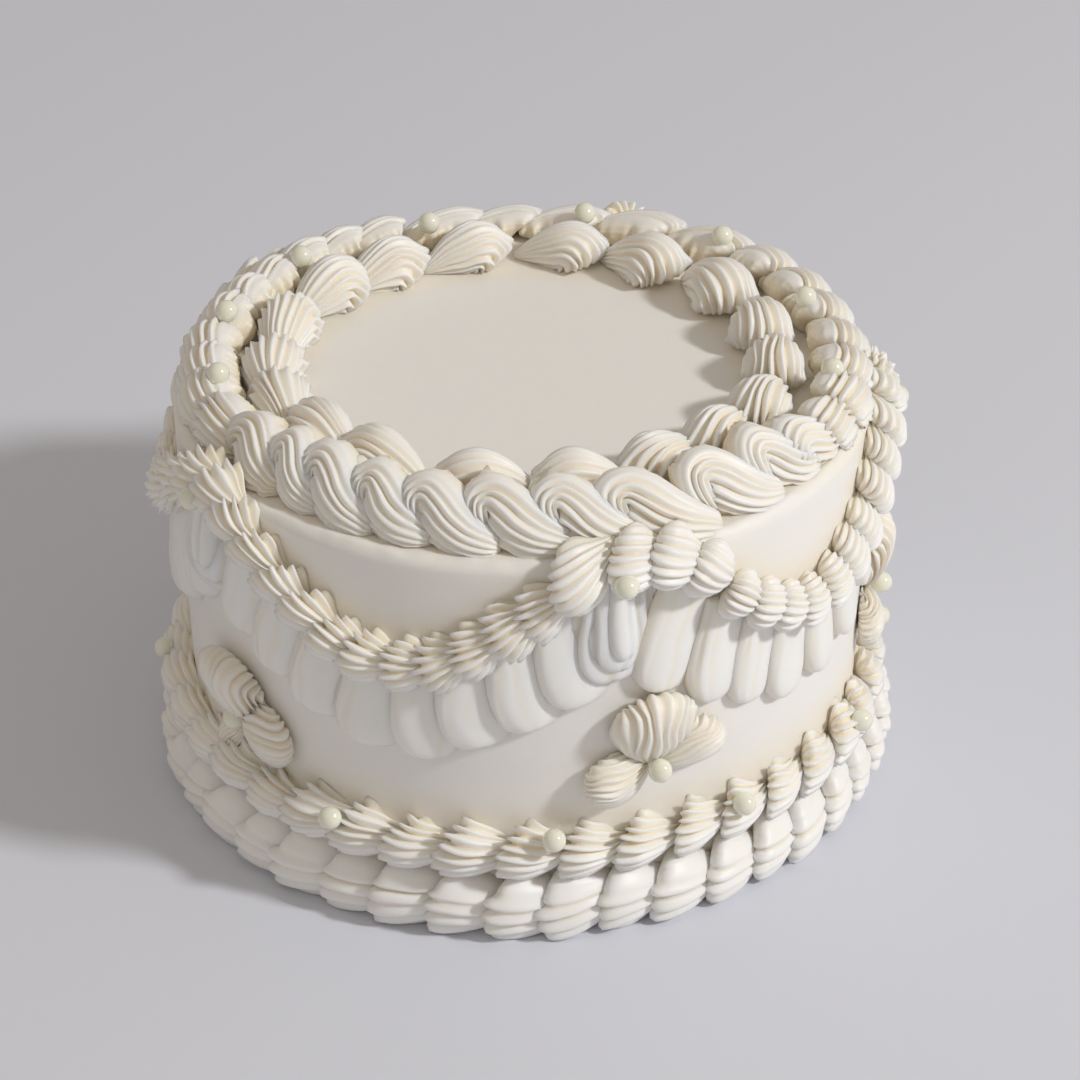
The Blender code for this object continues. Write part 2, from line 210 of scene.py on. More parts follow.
def makeWallIcing():
    look = wallLook
    material, tree, shader = newMaterial("smoothIcing")
    streaks = addGrain(tree, shader, look)
    spread = addMix(tree, streaks, look["colour"], look["dullColour"])
    # painted glow: the wall turns warm beside the piping
    colour = addMix(tree, addPaintedShadeAndGlow(tree, look["paintedGlowStrength"]), spread, look["paintedGlowColour"])
    tree.links.new(colour, shader.inputs["Base Color"])
    tree.links.new(addRange(tree, streaks, *look["roughness"]), shader.inputs["Roughness"])
    shader.inputs["Specular IOR Level"].default_value = look["specular"]
    soften(shader, look)
    return material


def makePearlSugar():
    look = pearlLook
    material, tree, shader = newMaterial("sugarPearl")
    streaks = addGrain(tree, shader, look)
    colour = addMix(tree, streaks, look["colour"], look["paleColour"])
    tree.links.new(colour, shader.inputs["Base Color"])
    shader.inputs["Roughness"].default_value = look["roughness"]
    shader.inputs["Coat Weight"].default_value = look["coat"]
    shader.inputs["Coat Roughness"].default_value = look["coatRoughness"]
    soften(shader, look)
    return material


pipedIcing = makePipedIcing()
smoothIcing = makeWallIcing()
sugarPearl = makePearlSugar()


# A stroke is a list of keys: (time, x, y, z, half width, half height, tilt, heading).
# x runs the way that the nozzle travels, y to its left and z out of the cake. Tilt turns the
# nozzle from upright (0) to lying along its heading (90).

fanStroke = [  # as shares of the shell's half width: out of the mouth, over its rim and along to the tail
    (0.00, -0.14, 0, -0.04, 0.45, 0.42, 44, 0),
    (0.06, -0.12, 0, 0.00, 0.80, 0.76, 45, 0),
    (0.12, -0.04, 0, 0.05, 1.02, 0.99, 49, 0),
    (0.26, 0.18, 0, 0.13, 0.97, 0.97, 60, 0),
    (0.47, 0.52, 0, 0.10, 0.76, 0.80, 72, 0),
    (0.72, 0.96, 0, 0.02, 0.47, 0.52, 84, 0),
    (1.00, 1.56, 0, -0.08, 0.14, 0.16, 92, 0),
]

ropeStroke = [  # the same, fanning out more
    (0.00, -0.34, 0, -0.10, 0.40, 0.40, 46, 0),
    (0.07, -0.32, 0, 0.04, 0.86, 0.74, 46, 0),
    (0.15, -0.20, 0, 0.12, 1.12, 0.98, 50, 0),
    (0.28, 0.06, 0, 0.14, 1.06, 0.98, 60, 0),
    (0.48, 0.44, 0, 0.10, 0.72, 0.74, 74, 0),
    (0.70, 0.86, 0, 0.03, 0.38, 0.46, 86, 0),
    (1.00, 1.40, 0, -0.06, 0.12, 0.14, 94, 0),
]

roundStroke = [  # the same, rounder
    (0.00, -0.30, 0, -0.12, 0.36, 0.42, 50, 0),
    (0.07, -0.28, 0, 0.02, 0.72, 0.72, 48, 0),
    (0.15, -0.18, 0, 0.14, 0.93, 0.96, 50, 0),
    (0.28, 0.06, 0, 0.22, 1.05, 1.06, 60, 0),
    (0.46, 0.44, 0, 0.18, 0.92, 0.94, 74, 0),
    (0.66, 0.84, 0, 0.05, 0.56, 0.60, 86, 0),
    (1.00, 1.44, 0, -0.06, 0.14, 0.14, 94, 0),
]

broadStroke = [  # the same, narrowing less
    (0.00, -0.12, 0, -0.04, 0.50, 0.46, 44, 0),
    (0.06, -0.10, 0, 0.00, 0.84, 0.80, 46, 0),
    (0.14, 0.02, 0, 0.10, 1.04, 1.02, 55, 0),
    (0.32, 0.32, 0, 0.12, 1.02, 0.98, 66, 0),
    (0.56, 0.80, 0, 0.06, 0.86, 0.84, 78, 0),
    (0.78, 1.24, 0, 0.00, 0.62, 0.60, 88, 0),
    (1.00, 1.80, 0, -0.06, 0.22, 0.22, 94, 0),
]

domeStroke = [  # the same for a flower's rounded petal
    (0.00, 0.12, 0, 0.02, 0.60, 0.66, 8, 0),
    (0.09, 0.06, 0, 0.12, 0.86, 0.90, 14, 0),
    (0.20, 0.08, 0, 0.28, 0.99, 1.02, 28, 0),
    (0.36, 0.20, 0, 0.36, 1.04, 1.00, 50, 0),
    (0.54, 0.52, 0, 0.30, 1.02, 0.92, 70, 0),
    (0.73, 0.98, 0, 0.18, 0.90, 0.74, 84, 0),
    (0.88, 1.42, 0, 0.08, 0.64, 0.50, 92, 0),
    (1.00, 1.84, 0, -0.02, 0.28, 0.20, 96, 0),
]

longStroke = [  # in millimetres
    (0.00, -1.0, 0, 0.3, 6.2, 6.2, 15, 0),
    (0.12, -1.4, 0, 2.6, 7.0, 7.2, 28, 0),
    (0.28, -0.4, 0, 4.2, 7.2, 7.6, 50, 0),
    (0.48, 2.4, 0, 4.6, 6.6, 7.4, 72, 0),
    (0.70, 6.6, 0, 3.4, 4.9, 5.4, 90, -4),
    (0.86, 10.2, 0, 1.8, 2.9, 3.2, 100, -6),
    (1.00, 13.6, -0.2, 0.4, 0.9, 0.9, 106, -6),
]

commaStroke = [  # in millimetres, drawn on a slope: up beside the last shell, over and down to the foot
    (0.00, -1.2, 5.2, -1.0, 2.6, 2.6, 35, 112),
    (0.08, -2.2, 7.0, -1.0, 3.4, 3.6, 50, 102),
    (0.18, -2.6, 9.2, -1.1, 4.3, 4.6, 66, 78),
    (0.30, -1.9, 11.0, -1.4, 5.1, 5.3, 79, 38),
    (0.43, 0.5, 11.2, -1.5, 5.9, 5.8, 85, -8),
    (0.56, 3.2, 8.9, -1.2, 6.3, 5.9, 89, -42),
    (0.68, 5.9, 5.9, -0.8, 6.2, 5.5, 91, -46),
    (0.80, 9.2, 3.5, -0.5, 5.4, 4.7, 93, -30),
    (0.90, 12.4, 2.3, -0.3, 4.3, 3.5, 94, -18),
    (0.97, 15.0, 1.6, -0.4, 3.0, 2.3, 95, -14),
    (1.00, 16.2, 1.3, -0.8, 1.0, 0.7, 95, -12),
]

saddleStroke = [  # the same where the ring is seen from its end: straight along the ring
    (0.00, -2.0, 7.2, -1.6, 3.4, 2.6, 34, 0),
    (0.08, -2.6, 7.3, -0.9, 5.8, 4.6, 42, 0),
    (0.18, -2.2, 7.3, -0.4, 7.1, 5.9, 54, 0),
    (0.30, -0.4, 7.2, -0.3, 7.5, 6.4, 68, 0),
    (0.43, 1.9, 7.1, -0.5, 7.4, 6.3, 78, 0),
    (0.56, 4.4, 7.0, -0.9, 7.0, 5.8, 86, 0),
    (0.68, 6.9, 6.9, -1.3, 6.4, 5.0, 91, 0),
    (0.80, 9.4, 6.7, -1.8, 5.5, 4.0, 94, 0),
    (0.90, 11.5, 6.5, -2.2, 4.4, 3.0, 96, 0),
    (0.97, 13.0, 6.3, -2.5, 3.2, 2.0, 97, 0),
    (1.00, 13.8, 6.3, -2.9, 1.4, 0.8, 98, 0),
]

frillStroke = [  # in millimetres, down from under the rope
    (0.00, 0.0, 0, 0.0, 5.4, 1.3, 90, 0),
    (0.25, 5.5, 0, 0.0, 6.3, 1.8, 90, 0),
    (0.50, 11.0, 0, 0.0, 7.1, 2.2, 90, 0),
    (0.70, 15.2, 0, 0.0, 7.1, 2.5, 90, 0),
    (0.84, 18.3, 0, 0.0, 6.3, 2.6, 90, 0),
    (0.93, 20.3, 0, 0.0, 4.8, 2.3, 90, 0),
    (0.98, 21.3, 0, 0.0, 3.0, 1.6, 90, 0),
    (1.00, 21.6, 0, 0.0, 1.4, 0.7, 90, 0),
]


def mixStrokes(keys, others, share):
    return [tuple(a + share * (b - a) for a, b in zip(key, other)) for key, other in zip(keys, others)]


def slopeOf(keys, index, channel):
    before, after = keys[max(index - 1, 0)], keys[min(index + 1, len(keys) - 1)]
    return (after[channel] - before[channel]) / (after[0] - before[0])


def readStroke(keys, time):
    # one moment of a stroke, on a smooth curve through its keys
    span = 0
    while span < len(keys) - 2 and time > keys[span + 1][0]:
        span += 1
    start, stop = keys[span], keys[span + 1]
    length = stop[0] - start[0]
    u = (time - start[0]) / length
    values = []
    for channel in range(1, len(start)):
        leave = slopeOf(keys, span, channel) * length
        reach = slopeOf(keys, span + 1, channel) * length
        rise = stop[channel] - start[channel]
        bend = 3 * rise - 2 * leave - reach + u * (leave + reach - 2 * rise)
        values.append(start[channel] + u * (leave + u * bend))
    return values


piping = {  # what all piped icing shares
    "sink": 0.6 * mm,  # how far a shell presses into what it lies on
    "rimStart": 3 * mm,  # from this far below the cake's top, icing on the wall leans inwards
    "rimLean": 0.35,
    "mouthWidth": 0.07,  # of the torn mouth, in the stroke's time
    "tipUneven": 0.6,
    "nick": 0.025,
    "footHeight": 2.2 * mm,
    # painted shade: warm cream at the feet and in the grooves of the piping
    "paintedFootShade": 0.5,
    "grooveWarmth": 4.6,
    # how fast the noise changes round the nozzle and along the stroke
    "swayWaves": (1.1, 2.6),
    "swellWaves": (0.9, 2.4),
    "nickWaves": (9, 14),
    "ruffleWaves": 520,
}

starNozzle = {  # a plain star nozzle, from which each piece's own settings start
    "size": (mm, mm, mm),  # what 1 in the stroke is along, across and out of the cake
    "ridges": 17,
    "samples": 6,  # columns of vertices in a ridge
    "shown": (-115, 115),  # the angles that carry ridges, from straight up
    "lowerSides": 8,  # columns on the hidden underside
    "rings": 24,
    "pace": 1.0,  # over 1: rings crowd at the mouth
    "depth": 0.20,  # of the grooves
    "edge": 1.3,  # over 1: thin crests, under 1: thin grooves
    "upperEdge": 0,  # added to it on the upper side
    "ridgeUneven": 0.35,
    "droop": 0.0,  # how far ridges lean over
    "teeth": 0.0,  # how far ridges stand out at the mouth
    "rimTime": 0.0,  # when the mouth is reached
    "rimDepth": 0.3,  # how much deeper the grooves are there
    "flareBack": 0.0,  # how far the tips at the mouth bend back
    "twist": 0.0,  # of the ridges round the shell, in radians over its length
    "sway": 0.2,  # their waviness, in radians
    "swell": 0.05,  # lumps in the shell's thickness
    "rake": 0.0,  # how much lower the shell lies further along
    "smooth": None,  # the angles over which ridges fade into a smooth side, in radians
    "smoothness": 0.0,
    "saddle": 0.0,  # how much thinner the shell is there
    "ruffle": 0.0,  # waves of the foot
    "paintedShadeTint": 1,  # how strong the painted warm shade in the grooves is
}


def makeTube(sides, rings):
    # a plain closed tube whose rings the strokes then shape, numbered ring by ring
    tube = bmesh.new()
    loop = bmesh.ops.create_circle(tube, cap_ends=True, segments=sides, radius=1)["verts"]
    order = list(loop)
    edges = list(tube.edges)
    for _ in range(rings - 1):
        grown = bmesh.ops.extrude_edge_only(tube, edges=edges)["geom"]
        edges = [part for part in grown if isinstance(part, bmesh.types.BMEdge)]
        fresh = {part for part in grown if isinstance(part, bmesh.types.BMVert)}
        loop = [next(e.other_vert(v) for e in v.link_edges if e.other_vert(v) in fresh) for v in loop]
        order += loop
    bmesh.ops.contextual_create(tube, geom=edges)
    for number, vert in enumerate(order):
        vert.index = number
    tube.verts.sort()
    bmesh.ops.recalc_face_normals(tube, faces=tube.faces)
    mesh = bpy.data.meshes.new("tube")
    tube.to_mesh(mesh)
    tube.free()
    return mesh


def makeNozzle(look):
    # Columns of the tube follow the nozzle's teeth, so that each ridge has vertices on its crest.
    pitch = 2 * math.pi / look["ridges"]
    first, last = (math.radians(angle) for angle in look["shown"])
    shown = round((last - first) / pitch)
    samples = look["samples"]
    columns = []
    for step in range(shown * samples + 1):
        tooth = step / samples
        angle = first + tooth * pitch
        edge = look["edge"] + look["upperEdge"] * min(1, max(0, 0.5 + angle))
        ridge = (0.5 + 0.5 * math.cos(2 * math.pi * tooth)) ** edge
        columns.append((angle, round(tooth), ridge))
    rest = 2 * math.pi - shown * pitch
    for side in range(1, look["lowerSides"] + 1):
        columns.append((first + shown * pitch + rest * side / (look["lowerSides"] + 1), 0, 0.5))
    rings = look["rings"]
    times = [(ring / (rings - 1)) ** look["pace"] for ring in range(rings)]
    return {
        "tube": makeTube(len(columns), rings),
        "columns": columns,
        "times": times,
        "rings": [readStroke(look["stroke"], time) for time in times],
    }


def pipeShell(target, nozzle, look, place, rnd):
    # squeezes one shell out through a star nozzle and lets it settle on what it lies on
    index = len(target.verts)
    target.from_mesh(nozzle["tube"])
    target.verts.ensure_lookup_table()
    groove = target.verts.layers.float["groove"]
    pitch = 2 * math.pi / look["ridges"]
    shift = rnd.uniform(-0.5, 0.5) * pitch
    teeth = look["ridges"] + 2
    depths = [1 + look["ridgeUneven"] * rnd.uniform(-1, 1) for _ in range(teeth)]
    tips = [1 + rnd.uniform(-piping["tipUneven"], piping["tipUneven"]) for _ in range(teeth)]
    seed = rnd.uniform(0, 100)
    swayAngle, swayTime = piping["swayWaves"]
    swellAngle, swellTime = piping["swellWaves"]
    nickAngle, nickTime = piping["nickWaves"]
    for time, ring in zip(nozzle["times"], nozzle["rings"]):
        x, y, z, wide, tall, tilt, heading = ring
        lean, head = math.radians(tilt), math.radians(heading)
        backX = -math.cos(lean) * math.cos(head)
        backY = -math.cos(lean) * math.sin(head)
        backZ = math.sin(lean)
        sideX, sideY = -math.sin(head), math.cos(head)
        rim = math.exp(-(((time - look["rimTime"]) / piping["mouthWidth"]) ** 2))
        for angle, tooth, ridge in nozzle["columns"]:
            # where the vertex is round the nozzle
            sway = look["sway"] * noise.noise((angle * swayAngle + seed, time * swayTime, seed))
            turn = angle + shift + sway + look["twist"] * time - look["droop"] * pitch * ridge
            # how far it stands out
            fade = fadeIn(turn, *look["smooth"]) if look["smooth"] else 0
            calm = 1 - look["smoothness"] * fade
            depth = look["depth"] * depths[tooth] * (1 + look["rimDepth"] * rim) * calm
            flare = look["teeth"] * rim * tips[tooth] * ridge * calm
            swell = 1 + look["swell"] * noise.noise((seed, angle * swellAngle, time * swellTime + seed))
            swell -= look["saddle"] * fade
            nick = piping["nick"] * rim * noise.noise((angle * nickAngle, time * nickTime, seed))
            reach = swell * (1 - depth * (1 - ridge) + flare + nick)
            # its place in the shell and on the cake
            up, aside = tall * reach * math.cos(turn), wide * reach * math.sin(turn)
            px = (x + backX * up + sideX * aside - flare * look["flareBack"]) * look["size"][0]
            py = (y + backY * up + sideY * aside) * look["size"][1]
            pz = (z + backZ * up - look["rake"] * (x + backX * up)) * look["size"][2]
            foot = max(0, 1 - pz / piping["footHeight"])
            if look["ruffle"]:
                py -= look["ruffle"] * foot * noise.noise((px * piping["ruffleWaves"] + seed, seed, 0))
            vert = target.verts[index]
            vert.co = place(px, py, pz)
            # painted shade: warm cream in the deep grooves and near the foot
            paintedShade = look["paintedShadeTint"] * (1 - ridge) ** 3 * depth * piping["grooveWarmth"]
            vert[groove] = min(1, paintedShade + piping["paintedFootShade"] * foot)
            index += 1


def onTop(azimuth, radius, size=1.0, turn=0.0, slope=0.0, flatten=1.0):
    # gives the function that puts a shell's own x, y and z on the cake's top
    c, s = math.cos(math.radians(turn)), math.sin(math.radians(turn))
    level, steep = math.cos(math.radians(slope)), math.sin(math.radians(slope))

    def place(x, y, z):
        along, across = size * (x * c - y * s), size * (x * s + y * c)
        inward = across * level - size * z * steep
        lift = max((across * steep + size * z * level) * flatten, -piping["sink"])
        return polar(azimuth + math.degrees(along / radius), radius - inward, cakeTop + lift)

    return place


def onWall(azimuth, height, size=1.0, turn=0.0, lift=0.0):
    # the same for the cake's wall
    c, s = math.cos(math.radians(turn)), math.sin(math.radians(turn))

    def place(x, y, z):
        along, across = size * (x * c - y * s), size * (x * s + y * c)
        up = max(height + across, 0)
        out = max(size * z + lift, -piping["sink"])
        over = max(0, up - cakeTop + piping["rimStart"])
        return polar(
            azimuth + math.degrees(along / cakeRadius), cakeRadius + out - piping["rimLean"] * over, up
        )

    return place


def stretched(place, along=1.0, across=1.0, out=1.0):
    return lambda x, y, z: place(x * along, y * across, z * out)


def newPiece():
    piece = bmesh.new()
    piece.verts.layers.float.new("groove")
    return piece


def finishPiece(shape, name, material, nodes):
    mesh = bpy.data.meshes.new(name)
    shape.to_mesh(mesh)
    shape.free()
    mesh.shade_smooth()
    mesh.materials.append(material)
    piece = bpy.data.objects.new(name, mesh)
    bpy.context.scene.collection.objects.link(piece)
    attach(piece, "root")
    if nodes:
        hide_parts(*nodes)
    print("cake:", name, len(mesh.polygons), "faces")


body = {
    "edgeRadius": 2.6 * mm,
    "edgeSteps": 8,
    "turns": 300,
    "wallRows": 56,
    "topRows": 26,
    "footBand": 0.5 * mm,  # stays flat and true
    "waviness": 0.22 * mm,
    "shrink": 0.15 * mm,
    "broadWaves": (26, 26, 60),
    "fineWaves": (160, 160, 420),
    "lumpWaves": (330, 330, 330),
    "lip": 0.80 * mm,  # rough edge that the scraper leaves on the rim
    "lipInset": 1.5 * mm,
    "lipWidth": 2.2 * mm,
    "lipDrop": 1 * mm,
    "paintedGlowReach": 4.5 * mm,  # how far the painted glow beside the piping reaches, standing in for light soaking out of it
    "paintedTopGlowReach": 2.2 * mm,
    "topBand": 3 * mm,
    "ropeHalf": 5 * mm,
    "rowHalf": 6 * mm,
    "ringHalf": 7 * mm,
}


def paintedGlowAt(point):
    # mask of the painted glow: 1 where the smooth icing meets the piping, fading over a few millimetres
    look = body
    radius = math.hypot(point.x, point.y)
    azimuth = math.degrees(math.atan2(point.x, -point.y))
    if point.z < cakeTop - look["topBand"]:
        reach = look["paintedGlowReach"]
        fromRope = abs(point.z - ropeHeight(azimuth)) - look["ropeHalf"]
        fromRow = abs(point.z - upperRow["height"]) - look["rowHalf"]
        gap = min(fromRope, fromRow)
    else:
        reach = look["paintedTopGlowReach"]
        front = 1 - sideShare(azimuth)
        outside = radius - outerRing["footRadius"] + outerRing["inset"] * front
        inside = innerRing["radius"] - innerRing["inset"] * front - look["ringHalf"] - radius
        gap = max(outside, inside)
    return math.exp(-((max(gap, 0) / reach) ** 2))


def noiseAt(point, waves):
    return noise.noise(Vector((point.x * waves[0], point.y * waves[1], point.z * waves[2])))


def bodyOutline():
    look = body
    middle = cakeRadius - look["edgeRadius"]
    corner = cakeTop - look["edgeRadius"]
    outline = [(middle * step / look["topRows"], cakeTop) for step in range(look["topRows"])]
    for step in range(look["edgeSteps"] + 1):
        turn = math.pi / 2 * step / look["edgeSteps"]
        out, up = look["edgeRadius"] * math.sin(turn), look["edgeRadius"] * math.cos(turn)
        outline.append((middle + out, corner + up))
    for step in range(1, look["wallRows"] + 1):
        outline.append((cakeRadius, corner * (1 - step / look["wallRows"])))
    return outline + [(0, 0)]


def makeBody():
    look = body
    shape = newPiece()
    middle = cakeRadius - look["edgeRadius"]
    corner = cakeTop - look["edgeRadius"]
    corners = [shape.verts.new((radius, 0, height)) for radius, height in bodyOutline()]
    edges = [shape.edges.new(pair) for pair in zip(corners, corners[1:])]
    bmesh.ops.spin(
        shape, geom=corners + edges, axis=(0, 0, 1), cent=(0, 0, 0),
        angle=2 * math.pi, steps=look["turns"], use_merge=True,
    )
    bmesh.ops.remove_doubles(shape, verts=shape.verts, dist=1e-6)
    bmesh.ops.recalc_face_normals(shape, faces=shape.faces)
    groove = shape.verts.layers.float["groove"]
    for vert in shape.verts:
        point = vert.co.copy()
        if point.z < look["footBand"]:
            continue
        radius = math.hypot(point.x, point.y)
        broad = noiseAt(point, look["broadWaves"])
        fine = noiseAt(point, look["fineWaves"])
        if radius > middle:
            outward = Vector((point.x, point.y, 0)).normalized()
            vert.co += outward * (look["waviness"] * (0.8 * broad + 0.25 * fine) - look["shrink"])
        if point.z > corner - look["lipDrop"]:
            lip = max(0, 1 - abs(radius - cakeRadius + look["lipInset"]) / look["lipWidth"])
            vert.co.z += lip * (look["lip"] * (0.4 + 0.8 * noiseAt(point, look["lumpWaves"])))
        if point.z > corner and radius <= middle:
            vert.co.z += look["waviness"] * (0.35 * broad + 0.10 * fine)
        # painted glow beside the piping
        vert[groove] = paintedGlowAt(point)
    finishPiece(shape, "cakeBody", smoothIcing, ["cake_body"])


outerRing = {
    **starNozzle,
    "stroke": commaStroke,
    "footRadius": 74.2 * mm,
    "inset": 3.4 * mm,  # further in at the front
    "drift": 0.8 * mm,  # the ring wanders out on its right side
    "dip": 0.30,  # and lies lower at the back
    "slope": 45,
    "sideSlope": 33,
    "crests": (  # azimuths where the shells stand highest
        -15.2, -3.4, 8.0, 19.5, 35.5, 48.4, 57.6, 67.6, 76.5, 87.2, 96.8, 107.8, 117.6, 127.8, 139.5,
        155.5, 171.0, 183.2, 195.5, 209.5, 218.5, 227.5, 237.4, 246.9, 254.5, 266.0, 274.8, 283.5,
        293.4, 303.9, 314.8, 323.0, 334.5,
    ),
    "lead": 1.4,  # a shell starts this many degrees before its crest
    "usualGap": 11,  # between crests
    "gapStretch": 0.6,  # how much a wider gap lengthens the shell
    "sizes": (0.96, 1.03),
    "turns": (-5, 5),  # in degrees
    "wander": 0.4,  # in millimetres
    "frontAngle": (42, 72),  # the sweep to the foot fades between these azimuths
    "ruffle": 1.2 * mm,
    "edge": 0.85,
    "teeth": 0.12,
    "rimDepth": 0.4,
    "twist": 0.15,
    "sway": 0.22,
    "smooth": (0.34, 0.72),
    "smoothness": 0.88,
    "rings": 36,
    "shown": (-105, 130),
}

outerSides = {
    **outerRing,
    "ridges": 18,
    "edge": 1.3,
    "depth": 0.24,
    "twist": 0.05,
    "sway": 0.12,
    "smooth": (0.60, 0.80),
    "smoothness": 0.95,
    "saddle": 0.10,
    "teeth": 0.06,
    "rimTime": 0.14,
    "flareBack": 8.0,
    "sidesFrom": 0.3,  # share of the way from front to side at which these settings start
}

innerRing = {
    **starNozzle,
    "stroke": longStroke,
    "radius": 53.8 * mm,
    "inset": 3.2 * mm,
    "dip": 0.13,
    "crests": (
        -8.9, 13.2, 34.0, 52.0, 69.4, 88.3, 106.0, 126.3, 148.6, 169.3, 192.8, 214.4, 232.1, 253.1,
        273.7, 289.0, 307.0, 326.2,
    ),
    "lead": 1.2,
    "sizes": (0.94, 1.04),
    "turns": (-12, 8),
    "wander": 0.6,
    "ridges": 18,
    "teeth": 0.10,
    "rimTime": 0.10,
    "rimDepth": 0.4,
    "flareBack": 7.0,
    "twist": 0.35,
    "sway": 0.26,
    "swell": 0.06,
    "rings": 36,
    "shown": (-120, 120),
}


def dipAt(azimuth, share):
    # how high a ring lies at an azimuth: full at the front, less at the very back
    return 1 - share * ((1 - math.cos(math.radians(azimuth))) / 2) ** 8


def sideShare(azimuth):
    # 0 at the front, where the shells sweep down to a foot, and 1 round the sides and back
    return fadeIn(abs((azimuth + 180) % 360 - 180), *outerRing["frontAngle"])


def makeOuterRing():
    look = outerRing
    rnd = random.Random(21)
    fronts, sides = makeNozzle(look), makeNozzle(outerSides)
    shape = newPiece()
    crests = look["crests"]
    for crest, after in zip(crests, crests[1:] + (crests[0] + 360,)):
        share = sideShare(crest)
        isSide = share > outerSides["sidesFrom"]
        keys = mixStrokes(commaStroke, saddleStroke, share)
        nozzle = dict(sides if isSide else fronts)
        nozzle["rings"] = [readStroke(keys, time) for time in nozzle["times"]]
        azimuth = crest - look["lead"]
        long = ((after - crest) / look["usualGap"]) ** look["gapStretch"]
        size = rnd.uniform(*look["sizes"])
        drift = look["drift"] * math.sin(math.radians(azimuth))
        radius = look["footRadius"] + drift + rnd.uniform(-look["wander"], look["wander"]) * mm
        radius -= look["inset"] * (1 - share)
        slope = look["slope"] + share * (look["sideSlope"] - look["slope"])
        turn = rnd.uniform(*look["turns"])
        place = onTop(azimuth, radius, size, turn, slope, dipAt(azimuth, look["dip"]))
        pipeShell(shape, nozzle, outerSides if isSide else look, stretched(place, along=long), rnd)
    finishPiece(shape, "topBorderOuter", pipedIcing, ["top_border_outer"])


def makeInnerRing():
    look = innerRing
    rnd = random.Random(34)
    nozzle = makeNozzle(look)
    shape = newPiece()
    for crest in look["crests"]:
        azimuth = crest - look["lead"]
        size = rnd.uniform(*look["sizes"])
        radius = look["radius"] + rnd.uniform(-look["wander"], look["wander"]) * mm
        radius -= look["inset"] * (1 - sideShare(crest))
        turn = rnd.uniform(*look["turns"])
        place = onTop(azimuth, radius, size, turn, 0, dipAt(azimuth, look["dip"]))
        pipeShell(shape, nozzle, look, place, rnd)
    finishPiece(shape, "topBorderInner", pipedIcing, ["top_border_inner"])


upperRow = {
    **starNozzle,
    "stroke": fanStroke,
    "size": (7.8 * mm, 6.7 * mm, 7.2 * mm),
    "shells": 41,
    "firstHead": 0.5,
    "height": 20.0 * mm,
    "spacing": 0.5,  # how far shells stray, in degrees
    "wander": 0.5,  # and in millimetres
    "sizes": (0.94, 1.05),
    "turns": (-8, 6),
    "paintedShadeTint": 0.8,
    "depth": 0.24,
    "edge": 0.95,
    "upperEdge": 0.6,
    "droop": 0.12,
    "teeth": 0.08,
    "rimTime": 0.09,
    "flareBack": 1.2,
    "sway": 0.18,
    "rake": 0.10,
    "pace": 1.2,
    "lowerSides": 6,
}

lowerRow = {
    **upperRow,
    "stroke": broadStroke,
    "size": (7.6 * mm, 8.2 * mm, 8.0 * mm),
    "shells": 42,
    "firstHead": -2.0,
    "height": 6.6 * mm,
    "ridges": 15,
    "depth": 0.17,
    "edge": 0.55,
    "upperEdge": 0,
    "droop": 0.18,
    "smooth": (0.38, 0.60),
    "smoothness": 0.95,
    "saddle": 0.05,
    "sway": 0.12,
}


def makeRow(look, name, node, seed):
    rnd = random.Random(seed)
    nozzle = makeNozzle(look)
    shape = newPiece()
    pitch = 360 / look["shells"]
    for shell in range(look["shells"]):
        azimuth = look["firstHead"] + pitch * shell + rnd.uniform(-look["spacing"], look["spacing"])
        height = look["height"] + rnd.uniform(-look["wander"], look["wander"]) * mm
        place = onWall(azimuth, height, rnd.uniform(*look["sizes"]), rnd.uniform(*look["turns"]))
        pipeShell(shape, nozzle, look, place, rnd)
    finishPiece(shape, name, pipedIcing, [node])


swags = {
    "count": 5,
    "firstPeak": 16.0,
    "low": 64.5 * mm,
    "peak": 90.0 * mm,
    "frillLow": 41.0 * mm,
    "frillPeak": 61.7 * mm,
}
swagAngle = 360 / swags["count"]

rope = {
    **starNozzle,
    "stroke": ropeStroke,
    "size": (5.9 * mm, 5.5 * mm, 5.8 * mm),
    "shells": 14,
    # azimuth and height in millimetres of the larger shells over the front peak
    "front": ((8.0, 87.4), (16.2, 89.2), (22.2, 88.2), (27.9, 84.6)),
    "frontGap": 3.5,  # degrees from them to the next shells
    "frontSize": 1.13,
    "sizes": (0.97, 1.05),
    "turns": (-6, 6),
    "wander": 0.5,  # in millimetres
    "lift": 1.2 * mm,
    "peakSmoothing": 9,  # degrees either side of a peak in which the rope turns level
    "ridges": 16,
    "depth": 0.24,
    "edge": 1.35,
    "teeth": 0.09,
    "rimTime": 0.12,
    "flareBack": 0.8,
    "sway": 0.16,
    "rake": 0.10,
    "pace": 1.2,
    "lowerSides": 6,
}

roundRope = {  # rounder shells, at the front peak and right of it
    **rope,
    "stroke": roundStroke,
    "size": (6.1 * mm, 5.3 * mm, 5.8 * mm),
    "ridges": 17,
    "depth": 0.20,
    "edge": 0.70,
    "teeth": 0.02,
    "flareBack": 0.2,
    "sway": 0.10,
}


def swagRise(azimuth):
    # 0 where a swag hangs lowest and 1 at its peaks
    turns = (azimuth - swags["firstPeak"]) / swagAngle
    across = abs(2 * (turns - math.floor(turns)) - 1)
    return 0.25 * (1 - math.cos(math.pi * across)) + 0.5 * across ** 1.6


def ropeHeight(azimuth):
    return swags["low"] + (swags["peak"] - swags["low"]) * swagRise(azimuth)


def frillBottom(azimuth):
    return swags["frillLow"] + (swags["frillPeak"] - swags["frillLow"]) * swagRise(azimuth)


def ropeSlope(azimuth):
    climb = ropeHeight(azimuth + 1) - ropeHeight(azimuth - 1)
    return math.degrees(math.atan2(climb, cakeRadius * math.radians(2)))


